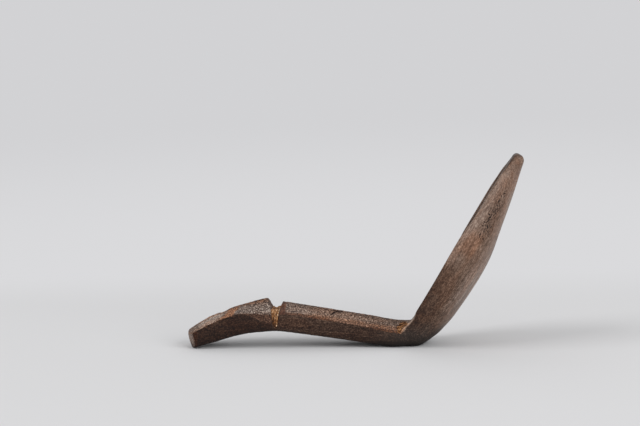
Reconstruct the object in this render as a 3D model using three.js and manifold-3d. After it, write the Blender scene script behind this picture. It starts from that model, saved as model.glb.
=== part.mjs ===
// Carved wooden spoon with a broken and mended handle, in millimetres, +Z up.
//
// The spoon lies as it rests on a table: the handle along X with its tip at -X, the bowl rising towards +X,
// its hollow facing the handle. Y runs across. The origin is at the middle of the footprint, on the table.
//
// One billet is lofted from the handle's tip, round the inner corner and up the bowl. A wedge-shaped break
// parts the handle's end from the rest, and a fill of splinters and old glue holds the two together.

import * as THREE from "three";
import { mergeVertices } from "three/addons/utils/BufferGeometryUtils.js";
import Module from "manifold-3d";

// Handle. Distances "from the tip" run along X.
const HANDLE_LENGTH = 136.5; // tip to the inner corner at the bowl
const END_WIDTH = 23; // across the arrises near the tip
const BREAK_WIDTH = 25; // across the arrises at the break
const WAIST_WIDTH = 24; // across the arrises halfway along the shank
const ROOT_WIDTH = 29; // across the arrises at the inner corner
const END_PLAN_RADIUS = 15.5; // the tip's rounding, seen from above
const END_FACE_LEAN = 12; // end face out of upright, in degrees, its top furthest out

// Ridge of the handle, from the rounded nose over the hump to the inner corner.
const NOSE_EDGE_HEIGHT = 9.2; // top of the end face
const NOSE_LENGTH = 13.6; // from the tip to where the nose's rounding ends
const NOSE_HEIGHT = 18.3; // ridge at the end of the rounding
const NOSE_ROUNDING = 0.62; // 1 is a straight slope, smaller numbers make the nose blunter
const HUMP_FROM_TIP = 50.5;
const HUMP_HEIGHT = 29.3;
const SHANK_HEIGHT = 26.9; // ridge at the break, on the side of the bowl
const ROOT_HEIGHT = 14.8; // ridge at the inner corner
const ROOT_LEVEL = 8; // level length of the ridge before the inner corner

// Arched underside.
const ARCH_FROM_TIP = 52.7;
const ARCH_RISE = 11;
const END_FLAT = 3; // from the tip to where the arch leaves the table
const HEEL_LENGTH = 10; // from the foot of the arch to the inner corner
const REST_FLAT = 0.45; // depth worn off where the spoon rests

// Fall from the ridge to the arris where the roof-shaped top meets the side.
const END_FALL = 3.2; // towards the tip
const SHOULDER_FALL = 13.3; // at the break, on the side of the tip
const SHANK_FALL = 5.2; // at the break, on the side of the bowl
const WAIST_FALL = 4.6; // halfway along the shank
const ROOT_FALL = 5.6; // where the arris turns up at the inner corner
const SHOULDER_LENGTH = 24; // over which the end's fall grows into the shoulder
const CORNER_RUN = 4.6; // over which the arris climbs straight to the rim at the inner corner

// Bowl. Distances "up the bowl" run along the rim from the inner corner.
const RIM_ANGLE = 57.7; // rim above the table, in degrees
const CORNER_RADIUS = 1; // inner corner between handle and rim
const HEEL_DEPTH = 17.7; // rim to the back where the bowl leaves the heel
const NECK_FLARE = 2; // widening on each side while the heel turns up into the bowl
const BOWL_LENGTH = 119;
const BOWL_WIDTH = 57;
const BOWL_WIDEST = 46; // up the bowl, where it is widest
const BOWL_DEPTH = 21.8; // rim to the back
const BOWL_DEEPEST = 44; // up the bowl, where the back is deepest
const TIP_DEPTH = 8.7; // rim to the back just before the tip rounds off
const TIP_ROUND = 3.5; // rounding of the tip, seen from the side
const TIP_BLUNT = 0.35; // share of the tip's depth that its end keeps
const RIM_SAG = 0.6; // dip of the rim between corner and tip
const RIM_WALL = 4; // width of the rim
const FLOOR_WALL = 5.2; // wood under the deepest part of the hollow
const HOLLOW_FROM_CORNER = 6; // wood between the inner corner and the hollow
const HOLLOW_FROM_TIP = 8; // wood between the hollow and the tip

// Break across the handle.
const BREAK_FROM_TIP = 56; // where the crack leaves the underside
const BREAK_ROOT = 13.3; // height at which the crack opens into a wedge
const BREAK_END_LEAN = 5.8; // how far the end's face lies back at the hump's height
const BREAK_SHANK_LEAN = 3.3; // the same for the shank's face
const FILL_TOP = 23.3; // height of the fill
const SEAT_GAP = 0.3; // clearance between pieces that bear on each other

// Section shapes: 2 is an ellipse, larger numbers are squarer.
const HANDLE_SQUARENESS = 5.5;
const HEEL_SQUARENESS = 2.8;
const BOWL_SQUARENESS = 2.3;
const HOLLOW_SQUARENESS = 2.1;
const ROOF_ROUNDING = 1.2; // 1 is a sharp ridge, larger numbers round it off

// Fineness of the loft.
const ROOF_STEPS = 4;
const SIDE_STEPS = 14;
const HANDLE_STEP = 2.6; // spacing of the sections along the handle
const CORNER_STEPS = 9;
const BOWL_STEP = 2.8;
const TIP_STEPS = 8;
const HOLLOW_STEPS = 34;
const BREAK_STEPS = 12;

const PATINA = 0x4a3528;
const RAW_WOOD = 0xb0763c;

const wasm = await Module();
wasm.setup();

// A smooth curve through [place, value] pairs that never overshoots between them.
function curveThrough(pairs) {
  const at = pairs.map((p) => p[0]);
  const value = pairs.map((p) => p[1]);
  const slope = at.slice(1).map((x, i) => (value[i + 1] - value[i]) / (x - at[i]));
  const tangent = at.map((_, i) => {
    if (i === 0) return slope[0];
    if (i === at.length - 1) return slope[i - 1];
    const [before, after] = [slope[i - 1], slope[i]];
    return before * after <= 0 ? 0 : (2 * before * after) / (before + after);
  });
  return (x) => {
    let i = 0;
    while (i < at.length - 2 && x > at[i + 1]) i++;
    const span = at[i + 1] - at[i];
    const t = (x - at[i]) / span;
    if (t < 0) return value[0] + tangent[0] * (x - at[0]);
    if (t > 1) return value[i + 1] + tangent[i + 1] * (x - at[i + 1]);
    const [a, b] = [t * t * (3 - 2 * t), t * (1 - t)];
    return value[i] * (1 - a) + value[i + 1] * a + span * b * ((1 - t) * tangent[i] - t * tangent[i + 1]);
  };
}

// A closed surface over rings that have the same number of points.
function loft(rings) {
  const count = rings[0].length;
  const points = rings.flat();
  const index = [];
  for (let r = 0; r + 1 < rings.length; r++) {
    for (let k = 0; k < count; k++) {
      const a = r * count + k;
      const b = r * count + ((k + 1) % count);
      index.push(a, a + count, b, b, a + count, b + count);
    }
  }
  for (const [r, flip] of [[0, false], [rings.length - 1, true]]) {
    const middle = rings[r].reduce((sum, p) => sum.add(p), new THREE.Vector3()).divideScalar(count);
    const hub = points.push(middle) - 1;
    for (let k = 0; k < count; k++) {
      const a = r * count + k;
      const b = r * count + ((k + 1) % count);
      index.push(hub, flip ? b : a, flip ? a : b);
    }
  }
  let volume = 0;
  for (let t = 0; t < index.length; t += 3) {
    const [a, b, c] = [points[index[t]], points[index[t + 1]], points[index[t + 2]]];
    volume += a.dot(b.clone().cross(c));
  }
  if (volume < 0) index.reverse();
  return solidOf(new THREE.BufferGeometry().setFromPoints(points).setIndex(index));
}

function solidOf(geometry) {
  const bare = new THREE.BufferGeometry();
  bare.setAttribute("position", geometry.getAttribute("position"));
  bare.setIndex(geometry.index);
  const merged = mergeVertices(bare, 1e-4);
  const vertProperties = Float32Array.from(merged.getAttribute("position").array);
  const triVerts = Uint32Array.from(merged.index.array);
  return new wasm.Manifold(new wasm.Mesh({ numProp: 3, vertProperties, triVerts }));
}

function geometryOf(solid) {
  const mesh = solid.getMesh();
  const geometry = new THREE.BufferGeometry();
  geometry.setAttribute("position", new THREE.BufferAttribute(mesh.vertProperties, 3));
  geometry.setIndex(new THREE.BufferAttribute(mesh.triVerts, 1));
  geometry.computeVertexNormals();
  return geometry;
}

// One ring across the spoon. "at" is the middle of its top, and the ring hangs down from it, leaning towards +X.
function ringAcross({ at, lean, half, fall, depth, squareness }) {
  const down = new THREE.Vector2(Math.sin(lean), -Math.cos(lean));
  const place = (y, drop) => new THREE.Vector3(at.x + down.x * drop, y, at.y + down.y * drop);
  const side = [];
  for (let k = 1; k <= ROOF_STEPS; k++) {
    const t = k / ROOF_STEPS;
    side.push([half * t, fall * t ** ROOF_ROUNDING]);
  }
  for (let k = 1; k < SIDE_STEPS; k++) {
    const turn = (k / SIDE_STEPS) * (Math.PI / 2);
    const [across, deep] = [Math.cos(turn), Math.sin(turn)].map((v) => v ** (2 / squareness));
    side.push([half * across, fall + (depth - fall) * deep]);
  }
  const near = side.map(([y, drop]) => place(-y, drop));
  const far = side.map(([y, drop]) => place(y, drop)).reverse();
  return [place(0, 0), ...near, place(0, depth), ...far];
}

// Profiles of the handle, by distance from the tip.
const halfWidth = curveThrough([
  [0, END_WIDTH / 2],
  [NOSE_LENGTH, END_WIDTH / 2],
  [BREAK_FROM_TIP, BREAK_WIDTH / 2],
  [(BREAK_FROM_TIP + HANDLE_LENGTH) / 2, WAIST_WIDTH / 2],
  [HANDLE_LENGTH, ROOT_WIDTH / 2],
]);

const humpRidge = curveThrough([
  [NOSE_LENGTH, NOSE_HEIGHT],
  [(NOSE_LENGTH + HUMP_FROM_TIP) / 2, THREE.MathUtils.lerp(NOSE_HEIGHT, HUMP_HEIGHT, 0.61)],
  [HUMP_FROM_TIP, HUMP_HEIGHT],
]);

function ridge(fromTip) {
  const shankStart = BREAK_FROM_TIP + BREAK_SHANK_LEAN;
  const shankEnd = HANDLE_LENGTH - ROOT_LEVEL;
  if (fromTip < NOSE_LENGTH) {
    const along = Math.max(0, fromTip / NOSE_LENGTH);
    return THREE.MathUtils.lerp(NOSE_EDGE_HEIGHT, NOSE_HEIGHT, along ** NOSE_ROUNDING);
  }
  if (fromTip < HUMP_FROM_TIP) return humpRidge(fromTip);
  if (fromTip < shankStart) {
    return THREE.MathUtils.mapLinear(fromTip, HUMP_FROM_TIP, shankStart, HUMP_HEIGHT, SHANK_HEIGHT);
  }
  return THREE.MathUtils.mapLinear(Math.min(fromTip, shankEnd), shankStart, shankEnd, SHANK_HEIGHT, ROOT_HEIGHT);
}

function underside(fromTip) {
  const rising = Math.max(0, (fromTip - END_FLAT) / (ARCH_FROM_TIP - END_FLAT));
  const falling = (fromTip - ARCH_FROM_TIP) / (HANDLE_LENGTH - HEEL_LENGTH - ARCH_FROM_TIP);
  const arch = falling > 0 ? 1 - Math.min(1, falling) ** 1.11 : Math.sin((rising * Math.PI) / 2) ** 1.1;
  return ARCH_RISE * arch - REST_FLAT;
}

const handleFall = curveThrough([
  [0, END_FALL],
  [BREAK_FROM_TIP - SHOULDER_LENGTH, END_FALL],
  [BREAK_FROM_TIP - BREAK_END_LEAN / 2, SHOULDER_FALL],
  [BREAK_FROM_TIP + BREAK_SHANK_LEAN, SHANK_FALL],
  [(BREAK_FROM_TIP + HANDLE_LENGTH) / 2, WAIST_FALL],
  [HANDLE_LENGTH - CORNER_RUN, ROOT_FALL],
]);

function arrisFall(fromTip) {
  const toCorner = HANDLE_LENGTH - fromTip;
  return toCorner < CORNER_RUN ? (ROOT_FALL * toCorner) / CORNER_RUN : handleFall(fromTip);
}

const handleSquareness = curveThrough([
  [0, HANDLE_SQUARENESS],
  [(BREAK_FROM_TIP + HANDLE_LENGTH) / 2, HANDLE_SQUARENESS],
  [HANDLE_LENGTH, HEEL_SQUARENESS],
]);

// Profiles of the bowl, by distance up the bowl.
const tipStart = BOWL_LENGTH - TIP_ROUND;
const neckHalf = ROOT_WIDTH / 2 + NECK_FLARE;

function bowlHalf(upBowl) {
  if (upBowl < BOWL_WIDEST) {
    const along = Math.sin(((upBowl / BOWL_WIDEST) * Math.PI) / 2);
    return THREE.MathUtils.lerp(neckHalf, BOWL_WIDTH / 2, along ** 1.1);
  }
  const along = Math.min(1, (upBowl - BOWL_WIDEST) / (BOWL_LENGTH - BOWL_WIDEST));
  return (BOWL_WIDTH / 2) * Math.sqrt(1 - along ** 2.1);
}

const bowlDepth = curveThrough([
  [0, HEEL_DEPTH],
  [BOWL_DEEPEST * 0.4, (HEEL_DEPTH + 3 * BOWL_DEPTH) / 4],
  [BOWL_DEEPEST, BOWL_DEPTH],
  [(BOWL_DEEPEST + tipStart) / 2, (BOWL_DEPTH + TIP_DEPTH) / 2 + 1],
  [tipStart, TIP_DEPTH],
]);

const bowlSquareness = curveThrough([
  [0, HEEL_SQUARENESS * 0.9],
  [BOWL_DEEPEST, BOWL_SQUARENESS],
  [BOWL_LENGTH, BOWL_SQUARENESS],
]);

const rimAngle = THREE.MathUtils.degToRad(RIM_ANGLE);
const upTheBowl = new THREE.Vector2(Math.cos(rimAngle), Math.sin(rimAngle));
const towardsBack = new THREE.Vector2(Math.sin(rimAngle), -Math.cos(rimAngle));
const cornerCentre = new THREE.Vector2(0, ROOT_HEIGHT + CORNER_RADIUS);
const bowlStart = cornerCentre.clone().addScaledVector(towardsBack, CORNER_RADIUS);

function rimSag(upBowl) {
  return RIM_SAG * Math.sin(Math.PI * Math.sqrt(Math.min(1, upBowl / BOWL_LENGTH)));
}

function rimPoint(upBowl, drop) {
  return bowlStart.clone().addScaledVector(upTheBowl, upBowl).addScaledVector(towardsBack, drop);
}

function handleRings() {
  const shankEnd = HANDLE_LENGTH - CORNER_RUN;
  const stretches = [
    [-HANDLE_STEP, NOSE_LENGTH, HANDLE_STEP / 2],
    [NOSE_LENGTH, shankEnd, HANDLE_STEP],
    [shankEnd, HANDLE_LENGTH, CORNER_RUN / 4],
  ];
  const places = [-HANDLE_STEP];
  for (const [from, to, spacing] of stretches) {
    const steps = Math.max(1, Math.round((to - from) / spacing));
    for (let k = 1; k <= steps; k++) places.push(from + ((to - from) * k) / steps);
  }
  return places.map((fromTip) =>
    ringAcross({
      at: new THREE.Vector2(fromTip - HANDLE_LENGTH, ridge(fromTip)),
      lean: 0,
      half: halfWidth(fromTip),
      fall: arrisFall(fromTip),
      depth: ridge(fromTip) - underside(fromTip),
      squareness: handleSquareness(fromTip),
    }),
  );
}

// Rings that fan round the inner corner, so that the heel is an arc about it.
function cornerRings() {
  const heel = ROOT_HEIGHT - underside(HANDLE_LENGTH);
  const rings = [];
  for (let k = 1; k < CORNER_STEPS; k++) {
    const t = k / CORNER_STEPS;
    const lean = rimAngle * t;
    const spoke = new THREE.Vector2(Math.sin(lean), -Math.cos(lean));
    rings.push(
      ringAcross({
        at: cornerCentre.clone().addScaledVector(spoke, CORNER_RADIUS),
        lean,
        half: THREE.MathUtils.lerp(halfWidth(HANDLE_LENGTH), bowlHalf(0), t),
        fall: 0,
        depth: THREE.MathUtils.lerp(heel, bowlDepth(0), t * t),
        squareness: THREE.MathUtils.lerp(HEEL_SQUARENESS, bowlSquareness(0), t),
      }),
    );
  }
  return rings;
}

function bowlRings() {
  const steps = Math.ceil(tipStart / BOWL_STEP);
  const stations = [];
  for (let k = 0; k <= steps; k++) stations.push([(tipStart * k) / steps, 1]);
  for (let k = 1; k <= TIP_STEPS; k++) {
    const turn = ((k - 0.2) / TIP_STEPS) * (Math.PI / 2);
    stations.push([tipStart + TIP_ROUND * Math.sin(turn), THREE.MathUtils.lerp(TIP_BLUNT, 1, Math.cos(turn))]);
  }
  return stations.map(([upBowl, share]) => {
    const thickness = bowlDepth(upBowl) - rimSag(upBowl);
    const trim = (thickness * (1 - share)) / 2;
    return ringAcross({
      at: rimPoint(upBowl, rimSag(upBowl) + trim),
      lean: rimAngle,
      half: bowlHalf(upBowl),
      fall: 0,
      depth: thickness - trim * 2,
      squareness: bowlSquareness(upBowl),
    });
  });
}

// The scoop of the bowl: it reaches above the rim so that it opens the bowl, and runs out at both ends.
function hollowSolid() {
  const widest = BOWL_WIDTH / 2 - RIM_WALL;
  const [foot, head] = [BOWL_WIDEST - HOLLOW_FROM_CORNER, BOWL_LENGTH - HOLLOW_FROM_TIP - BOWL_WIDEST];
  const rings = [];
  for (let k = 0; k <= HOLLOW_STEPS; k++) {
    const along = -Math.cos(Math.PI * (0.02 + (0.96 * k) / HOLLOW_STEPS));
    const upBowl = BOWL_WIDEST + along * (along < 0 ? foot : head);
    const taper = Math.sqrt(1 - Math.abs(along) ** 2.2);
    const half = widest * taper;
    const deep = (bowlDepth(upBowl) - rimSag(upBowl) - FLOOR_WALL) * taper ** 0.8;
    const ring = [];
    const place = (y, drop) => {
      const p = rimPoint(upBowl, rimSag(upBowl) + drop);
      ring.push(new THREE.Vector3(p.x, y, p.y));
    };
    place(-half * 1.05, -RIM_WALL / 2);
    for (let j = 0; j <= SIDE_STEPS * 2; j++) {
      const angle = (j / (SIDE_STEPS * 2)) * Math.PI;
      const across = Math.sign(Math.cos(angle)) * Math.abs(Math.cos(angle)) ** (2 / HOLLOW_SQUARENESS);
      place(-half * across, deep * Math.sin(angle) ** (2 / HOLLOW_SQUARENESS));
    }
    place(half * 1.05, -RIM_WALL / 2);
    rings.push(ring);
  }
  return loft(rings);
}

// How far a face of the break lies back, as a share of its lean: it opens quickly, climbs steeply, then flares.
function breakFace(share) {
  return 0.62 * share ** 0.35 + 0.38 * share ** 3;
}

// The wedge of the break, lofted across the handle. "inset" draws its two faces towards each other.
function breakWedge(inset) {
  const reach = Math.max(BREAK_WIDTH, END_WIDTH);
  const crack = BREAK_FROM_TIP - HANDLE_LENGTH;
  const climb = HUMP_HEIGHT - BREAK_ROOT;
  const slit = SEAT_GAP / 2;
  const shares = inset > 0 ? [0.03, 0.08, 0.2, 0.4, 0.6, 0.8, 1, 1.2] : [0, 0.03, 0.08, 0.2, 0.4, 0.6, 0.8, 1, 1.2];
  const rings = [];
  for (let k = 0; k <= BREAK_STEPS; k++) {
    const y = reach * ((2 * k) / BREAK_STEPS - 1);
    const place = (x, z) => new THREE.Vector3(crack + x, y, z);
    const height = (share) => BREAK_ROOT + climb * share;
    const endWall = shares.map((share) => place(inset - slit - BREAK_END_LEAN * breakFace(share), height(share)));
    const shankWall = shares.map((share) => place(slit - inset + BREAK_SHANK_LEAN * breakFace(share), height(share)));
    const foot = inset > 0 ? [] : [place(slit, -BREAK_ROOT), place(-slit, -BREAK_ROOT)];
    rings.push([...endWall, ...shankWall.reverse(), ...foot]);
  }
  return loft(rings);
}

function boxSolid(low, high) {
  const size = high.clone().sub(low);
  const middle = low.clone().add(high).multiplyScalar(0.5);
  const geometry = new THREE.BoxGeometry(size.x, size.y, size.z).translate(middle.x, middle.y, middle.z);
  return solidOf(geometry);
}

// What lies past the rounded end of the handle, seen from above.
function endCutter() {
  const tip = -HANDLE_LENGTH;
  const reach = END_WIDTH;
  const block = boxSolid(
    new THREE.Vector3(tip - 4 * HANDLE_STEP, -reach, -HUMP_HEIGHT),
    new THREE.Vector3(tip + END_PLAN_RADIUS, reach, HUMP_HEIGHT * 2),
  );
  const round = new THREE.CylinderGeometry(END_PLAN_RADIUS, END_PLAN_RADIUS, HUMP_HEIGHT * 6, 96);
  round.rotateX(Math.PI / 2).translate(END_PLAN_RADIUS, 0, 0);
  round.rotateY(-THREE.MathUtils.degToRad(END_FACE_LEAN)).translate(tip, 0, NOSE_EDGE_HEIGHT);
  return block.subtract(solidOf(round));
}

const far = HANDLE_LENGTH + BOWL_LENGTH;
const belowTable = boxSolid(new THREE.Vector3(-far, -far, -far), new THREE.Vector3(far, far, 0));

const blank = loft([...handleRings(), ...cornerRings(), ...bowlRings()]).subtract(endCutter());
const billet = blank.subtract(hollowSolid()).subtract(belowTable);
const halves = billet.subtract(breakWedge(0)).decompose();
halves.sort((a, b) => a.boundingBox().min[0] - b.boundingBox().min[0]);
const [endSolid, bowlSolid] = halves;

const half = BREAK_WIDTH / 2 - SEAT_GAP;
const fillLimits = boxSolid(new THREE.Vector3(-far, -half, 0), new THREE.Vector3(0, half, FILL_TOP));
const fillSolid = breakWedge(SEAT_GAP + SEAT_GAP / 2)
  .intersect(blank.translate([0, 0, -SEAT_GAP]))
  .intersect(fillLimits);

const spoon = new THREE.Group();
spoon.name = "carved_wooden_spoon";

function addPiece(name, solid, color, roughness) {
  const material = new THREE.MeshStandardMaterial({ color, roughness, metalness: 0 });
  const mesh = new THREE.Mesh(geometryOf(solid), material);
  mesh.name = name;
  spoon.add(mesh);
}

addPiece("bowl_and_shank", bowlSolid, PATINA, 0.55);
addPiece("handle_end", endSolid, PATINA, 0.55);
addPiece("break_fill", fillSolid, RAW_WOOD, 0.85);

const footprint = new THREE.Box3().setFromObject(spoon);
const shift = -(footprint.min.x + footprint.max.x) / 2;
for (const piece of spoon.children) piece.geometry.translate(shift, 0, 0);

export default spoon;
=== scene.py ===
"""Looks of a carved wooden spoon: worn, darkened wood with a broken handle, on a pale studio floor."""
import math
from types import SimpleNamespace

import bmesh
import bpy
import numpy as np
from mathutils import Matrix, Vector


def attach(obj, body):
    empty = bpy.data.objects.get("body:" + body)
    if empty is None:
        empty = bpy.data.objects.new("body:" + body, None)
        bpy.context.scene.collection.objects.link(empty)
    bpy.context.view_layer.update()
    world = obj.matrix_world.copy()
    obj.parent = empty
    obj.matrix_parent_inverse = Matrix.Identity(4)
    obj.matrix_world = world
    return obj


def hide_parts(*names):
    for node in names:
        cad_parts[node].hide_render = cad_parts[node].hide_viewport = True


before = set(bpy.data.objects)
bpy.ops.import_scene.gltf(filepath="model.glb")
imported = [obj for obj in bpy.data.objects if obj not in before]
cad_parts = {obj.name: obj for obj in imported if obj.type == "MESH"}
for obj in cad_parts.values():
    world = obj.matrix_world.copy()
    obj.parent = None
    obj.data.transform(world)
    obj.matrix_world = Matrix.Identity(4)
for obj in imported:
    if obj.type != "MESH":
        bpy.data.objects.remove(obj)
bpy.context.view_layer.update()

# Lengths are millimetres in the row frame, unless a name or a comment says metres.
MM = 0.001
SKIN_VOXEL = 0.36
FILL_VOXEL = 0.22
WELD_METRES = 1e-6
SOFTEN_SHARE = 0.5
SOFTEN_SWELL = 1.04
EDGE_ROUNDS = 12
FILL_EDGE_ROUNDS = 8
NOSE_ROUNDS = 110
MOST_ROUNDING = 0.25

# The bent spine of the spoon, as in the CAD part.
CORNER_X = 33.094
CORNER_Z = 14.8
CORNER_RADIUS = 1.0
RIM_ANGLE = math.radians(57.7)
BEND_RUN = 9.0
BOWL_DEPTH = 18.0
BREAK_X = CORNER_X - 80.5
BREAK_ROOT = 13.3
CRACK_GAP = 0.15
# The ways in which the far half of the root falls and the rim of the bowl faces.
ROOT_FALL = np.array([0.45, 0.0, -0.89])
RIM_WAY = np.array([-math.sin(RIM_ANGLE), 0.0, math.cos(RIM_ANGLE)])

# How deep the marks of carving, wear and breaking are.
WAVE_DEPTH = 0.16
KNIFE_DEPTH = 0.10
GRAIN_DEPTH = 0.04
GRANULE_DEPTH = 0.06
NICK_DEPTH = 0.40
SPLINTER_DEPTH = 0.30
FLAKE_DEPTH = 0.30
FLAKE_HOLLOW = 1.6
SCAR_DEPTH = 0.25
CHIP_DEPTH = 0.8
CRACK_DEPTH = 0.9
PIT_DEPTH = 0.35
ROOT_SLOPE = 0.30
# The splinters in the break.
FILL_SWELL = 0.15
FILL_TO_WALLS = 0.32
FILL_TOP_DROP = 0.9
FIBRE_DEPTH = 0.35
LUMP_DEPTH = 0.40

# How far the outline is moved from the CAD part's.
NOSE_FILL = 0.45
NOSE_TRIM = 0.3
RIDGE_RISE = 0.4
ARCH_DROP = 0.5
BROW_DROP = 0.5
DENT_DEPTH = 0.5
HEEL_TRIM = 0.45
FOOT_FILL = 0.45
RIM_RISE = 0.5
TIP_DROP = 1.05
BELLY_FILL = 0.4

# Stretches along the handle, from the inner corner: start, full, end of full, end.
SHANK_CREST = (-79.5, -77.0, -24.0, -12.0)
END_CREST = (-98.0, -92.0, -83.0, -81.0)
ARCH = (-126.0, -118.0, -90.0, -80.0)
BROW = (-136.0, -133.5, -127.0, -122.0)
# Stretches up the bowl, from the inner corner, in the same order.
RIM_SWELL = (30.0, 60.0, 90.0, 104.0)
BELLY = (45.0, 62.0, 104.0, 114.0)
PITTED = (66.0, 69.0, 97.0, 100.0)
WARM_FOOT = (2.0, 8.0, 18.0, 34.0)
# Spots: centre, with X from the inner corner, and radii.
NOSE = ((-138.0, 0.0, 9.0), (14.0, 30.0, 14.0))
DENT = ((-113.8, 0.0, 21.0), (4.0, 12.0, 5.0))
CHIP = ((-43.5, -1.2, 21.2), (5.0, 2.6, 2.4))
SCAR = ((-4.0, -9.0, 12.0), (4.4, 9.0, 6.5))
FOOT = ((3.0, 0.0, 0.0), (8.0, 60.0, 3.0))
HEEL = ((15.5, 0.0, 2.5), (9.0, 60.0, 6.0))
# The band of pits: its middle line starts so far up the bowl and so deep, and slants.
PIT_LINE_UP = 70.5
PIT_LINE_DEPTH = 9.7
PIT_LINE_SLANT = 0.085
PIT_HALF_WIDTH = 3.9
PIT_NARROWING = 1.7
# Places on the handle, from the inner corner: bared wood, the edge of the nose, the middle of the shank.
BARE_BAND = -106.0
NOSE_EDGE = -130.3
MID_SHANK = -46.0
# The rubbed seam at the root: its lower end and its height, and the X of its lower end and its lean.
SEAM_LOW = 9.2
SEAM_HEIGHT = 9.0
SEAM_X = -4.6
SEAM_LEAN = 7.4
# The warm spot on the bowl: how far up it is, and its share of the way to the back.
WARM_UP = 62.0
WARM_ACROSS = 0.35
# The ends of the crack across the ridge: X from the inner corner, and Y.
RIDGE_CRACK = ((-43.4, 0.2), (-47.2, -5.8))
# Where the pale top of the handle ends: distance from the inner corner, and from the ridge.
PALE_EDGE = ((-103.0, 12.5), (-93.0, 9.2), (-84.0, 8.7), (-73.0, 10.4),
             (-66.0, 9.5), (-50.0, 9.9), (-42.0, 11.8))

# Tones of the aged wood, from 0, nearly black, to 1, the palest.
# The top's tone stands above the sides', partly as painted light from above.
TOP_TONE = 0.53
LIP_TONE = 0.36
SIDE_TONE = 0.34
FACE_TONE = 0.42
BOWL_TONE = 0.41
INSIDE_TONE = 0.48
# Colours of each kind of wood by tone.
AGED_TONES = (
    (0.00, (0.008, 0.004, 0.003)),
    (0.20, (0.025, 0.011, 0.007)),
    (0.40, (0.062, 0.034, 0.022)),
    (0.55, (0.115, 0.069, 0.047)),
    (0.70, (0.195, 0.125, 0.091)),
    (0.85, (0.310, 0.217, 0.168)),
    (1.00, (0.460, 0.350, 0.280)),
)
RAW_TONES = (
    (0.12, (0.040, 0.014, 0.004)),
    (0.36, (0.115, 0.042, 0.011)),
    (0.58, (0.280, 0.119, 0.040)),
    (0.80, (0.440, 0.237, 0.110)),
    (1.00, (0.660, 0.500, 0.350)),
)
# Greyer colours, for dust and for the painted sheen on the bowl.
DUST_AND_SHEEN_TONES = (
    (0.00, (0.010, 0.007, 0.006)),
    (0.30, (0.048, 0.034, 0.028)),
    (0.55, (0.150, 0.110, 0.091)),
    (0.75, (0.290, 0.225, 0.190)),
    (1.00, (0.560, 0.480, 0.420)),
)
DARK_HEEL_COLOUR = (0.026, 0.019, 0.016)
SNAPPED_COLOUR = (0.132, 0.052, 0.028)
TORN_TINT = (0.35, 0.3, 0.3)
WARM_TINT = (1.27, 0.85, 0.57)
# Darkens the colour in the painted shade by the floor.
FLOOR_SHADE_TINT = (0.25, 0.25, 0.25)
AGED_SPECULAR = 0.2
RAW_SPECULAR = 0.3
STREAK_BUMP_METRES = 0.0004
GRIT_BUMP_METRES = 0.0003
RAW_BUMP_METRES = 0.0006

# Camera, from the photograph's viewing angle.
CAMERA_TARGET = (CORNER_X - 52.55, 0.0, 80.83)
CAMERA_DISTANCE = 1200.0
CAMERA_AZIMUTH = math.radians(7.5)
CAMERA_ELEVATION = math.radians(8.1)
CAMERA_ROLL = math.radians(-2.135)
CAMERA_LENS = 112.05
CAMERA_SENSOR = 36.0
CAMERA_CLIP_METRES = (0.01, 50.0)

# Stage and light, in metres and watts.
FLOOR_TONE = (0.675, 0.675, 0.685, 1.0)
FLOOR_RADIUS = 12.0
FLOOR_SIDES = 64
BACKDROP_TONES = ((0.0, (0.700, 0.700, 0.715)), (1.0, (0.645, 0.645, 0.660)))
BACKDROP_START = (0.30, 0.60)
BACKDROP_BEHIND = (0.12, 0.26)
BACKDROP_FADE = (0.35, 1.50)
WORLD_TONE = (1.0, 1.0, 1.0, 1.0)
WORLD_STRENGTH = 0.51
LAMP_DISTANCE = 3.0
# Each softbox: degrees round from +X, degrees up, half its breadth in degrees, power.
SOFTBOXES = {
    "key_softbox": (205.0, 48.0, 14.0, 25.5),
    "front_softbox": (320.0, 25.0, 20.0, 57.0),
    "back_softbox": (90.0, 50.0, 30.0, 12.0),
}


def smooth_step(values, low, high):
    """0 below low, 1 above high, and an S-curve between them; low may be above high."""
    share = np.clip((values - low) / (high - low), 0.0, 1.0)
    return share * share * (3.0 - 2.0 * share)


def between(values, start, full, end_of_full, end):
    """0 up to the start, 1 along the full stretch, and 0 again from the end on."""
    return smooth_step(values, start, full) * smooth_step(values, end, end_of_full)


def hashed(ix, iy, iz, seed):
    """A repeatable number from 0 to 1 for each lattice point."""
    h = (ix.astype(np.uint32) * np.uint32(0x8DA6B343)
         + iy.astype(np.uint32) * np.uint32(0xD8163841)
         + iz.astype(np.uint32) * np.uint32(0xCB1AB31F)
         + np.uint32((seed * 0x9E3779B1) & 0xFFFFFFFF))
    h ^= h >> np.uint32(15)
    h *= np.uint32(0x2C1B3C6D)
    h ^= h >> np.uint32(12)
    h *= np.uint32(0x297A2D39)
    h ^= h >> np.uint32(15)
    return h.astype(np.float64) / 2.0 ** 32


def noise(points, seed):
    """Smooth value noise from -1 to 1, one unit to a cell."""
    cell = np.floor(points)
    f = points - cell
    f = f * f * (3.0 - 2.0 * f)
    cell = cell.astype(np.int64)
    total = np.zeros(len(points))
    for dx in (0, 1):
        wx = f[:, 0] if dx else 1.0 - f[:, 0]
        for dy in (0, 1):
            wy = f[:, 1] if dy else 1.0 - f[:, 1]
            for dz in (0, 1):
                wz = f[:, 2] if dz else 1.0 - f[:, 2]
                corner = hashed(cell[:, 0] + dx, cell[:, 1] + dy, cell[:, 2] + dz, seed)
                total += wx * wy * wz * corner
    return 2.0 * total - 1.0


def layered(points, seed, layers):
    """Several octaves of noise, from about -1 to 1."""
    octave_shift = 17.3
    total = np.zeros(len(points))
    for k in range(layers):
        total += 0.5 ** k * noise(points * 2.0 ** k + octave_shift * k, seed + k)
    return total / (2.0 - 0.5 ** (layers - 1))


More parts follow.
